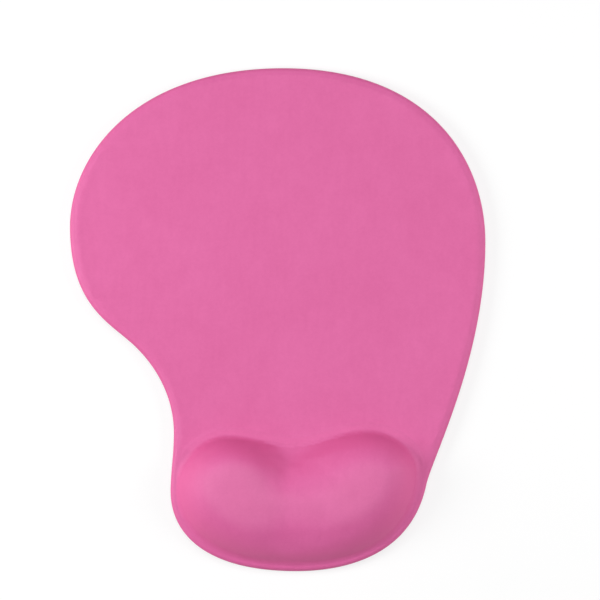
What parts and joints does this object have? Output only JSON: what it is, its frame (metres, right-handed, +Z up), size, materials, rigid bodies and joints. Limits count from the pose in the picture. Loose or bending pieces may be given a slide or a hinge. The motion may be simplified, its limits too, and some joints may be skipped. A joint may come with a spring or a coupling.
{
  "type": "gel mouse pad with wrist rest",
  "caption": "Contoured mouse pad with an integral two-lobed gel wrist rest, knitted fabric cover and flat non-slip base",
  "frame": {"origin": "middle of the underside of the pad's outline, on the table", "axes": "+Z up, +Y away from the user along the pad's length, +X to the user's right; the wrist rest is at -Y"},
  "size_m": [0.1899, 0.23, 0.02],
  "materials": {
    "cover_knit": "fine matt pink knit with a slight sheen",
    "bond_film": "milky hot-melt film",
    "core_foam": "matt closed-cell foam",
    "pouch_film": "smooth translucent film",
    "gel": "soft translucent gel",
    "base_rubber": "matt dark non-slip sheet with a fine texture"
  },
  "bodies": {
    "root": {"fabric_cover": "cover_knit", "cover_bond_film": "bond_film", "foam_core": "core_foam", "gel_pouch_top_film": "pouch_film", "gel_fill": "gel", "gel_pouch_bottom_film": "pouch_film", "base_bond_film": "bond_film", "base_sheet": "base_rubber"}
  },
  "joints": []
}
